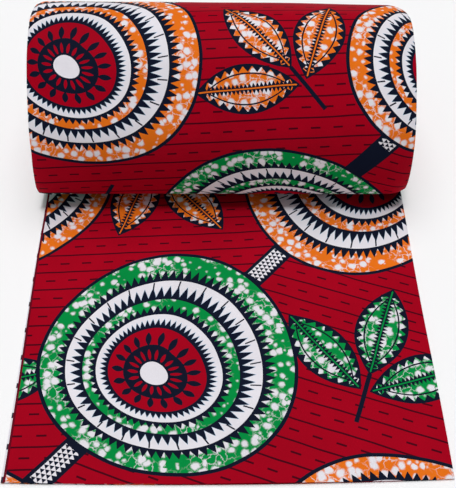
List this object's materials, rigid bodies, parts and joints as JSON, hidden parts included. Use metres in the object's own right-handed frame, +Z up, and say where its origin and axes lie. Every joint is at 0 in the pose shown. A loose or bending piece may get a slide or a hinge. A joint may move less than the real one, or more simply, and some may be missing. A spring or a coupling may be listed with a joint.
{
  "type": "roll of printed african fabric",
  "caption": "Wax-print cotton folded lengthwise and wound into a soft flat-footed roll, with its free end laid out in front.",
  "frame": {"origin": "bottom centre of the whole, on the surface that the cloth lies on", "axes": "+Z up; +Y from the free end's front edge towards the roll; +X along the roll, from the selvedges to the outer fold"},
  "size_m": [0.2934, 0.4042, 0.1272],
  "materials": {
    "printed_cotton": "smooth wax-print cotton, satin",
    "folded_edges": "edges of the wound folds, matte"
  },
  "bodies": {
    "root": {"laid_end": "printed_cotton", "outer_turn": "printed_cotton", "rolled_layers": "folded_edges"}
  },
  "joints": []
}
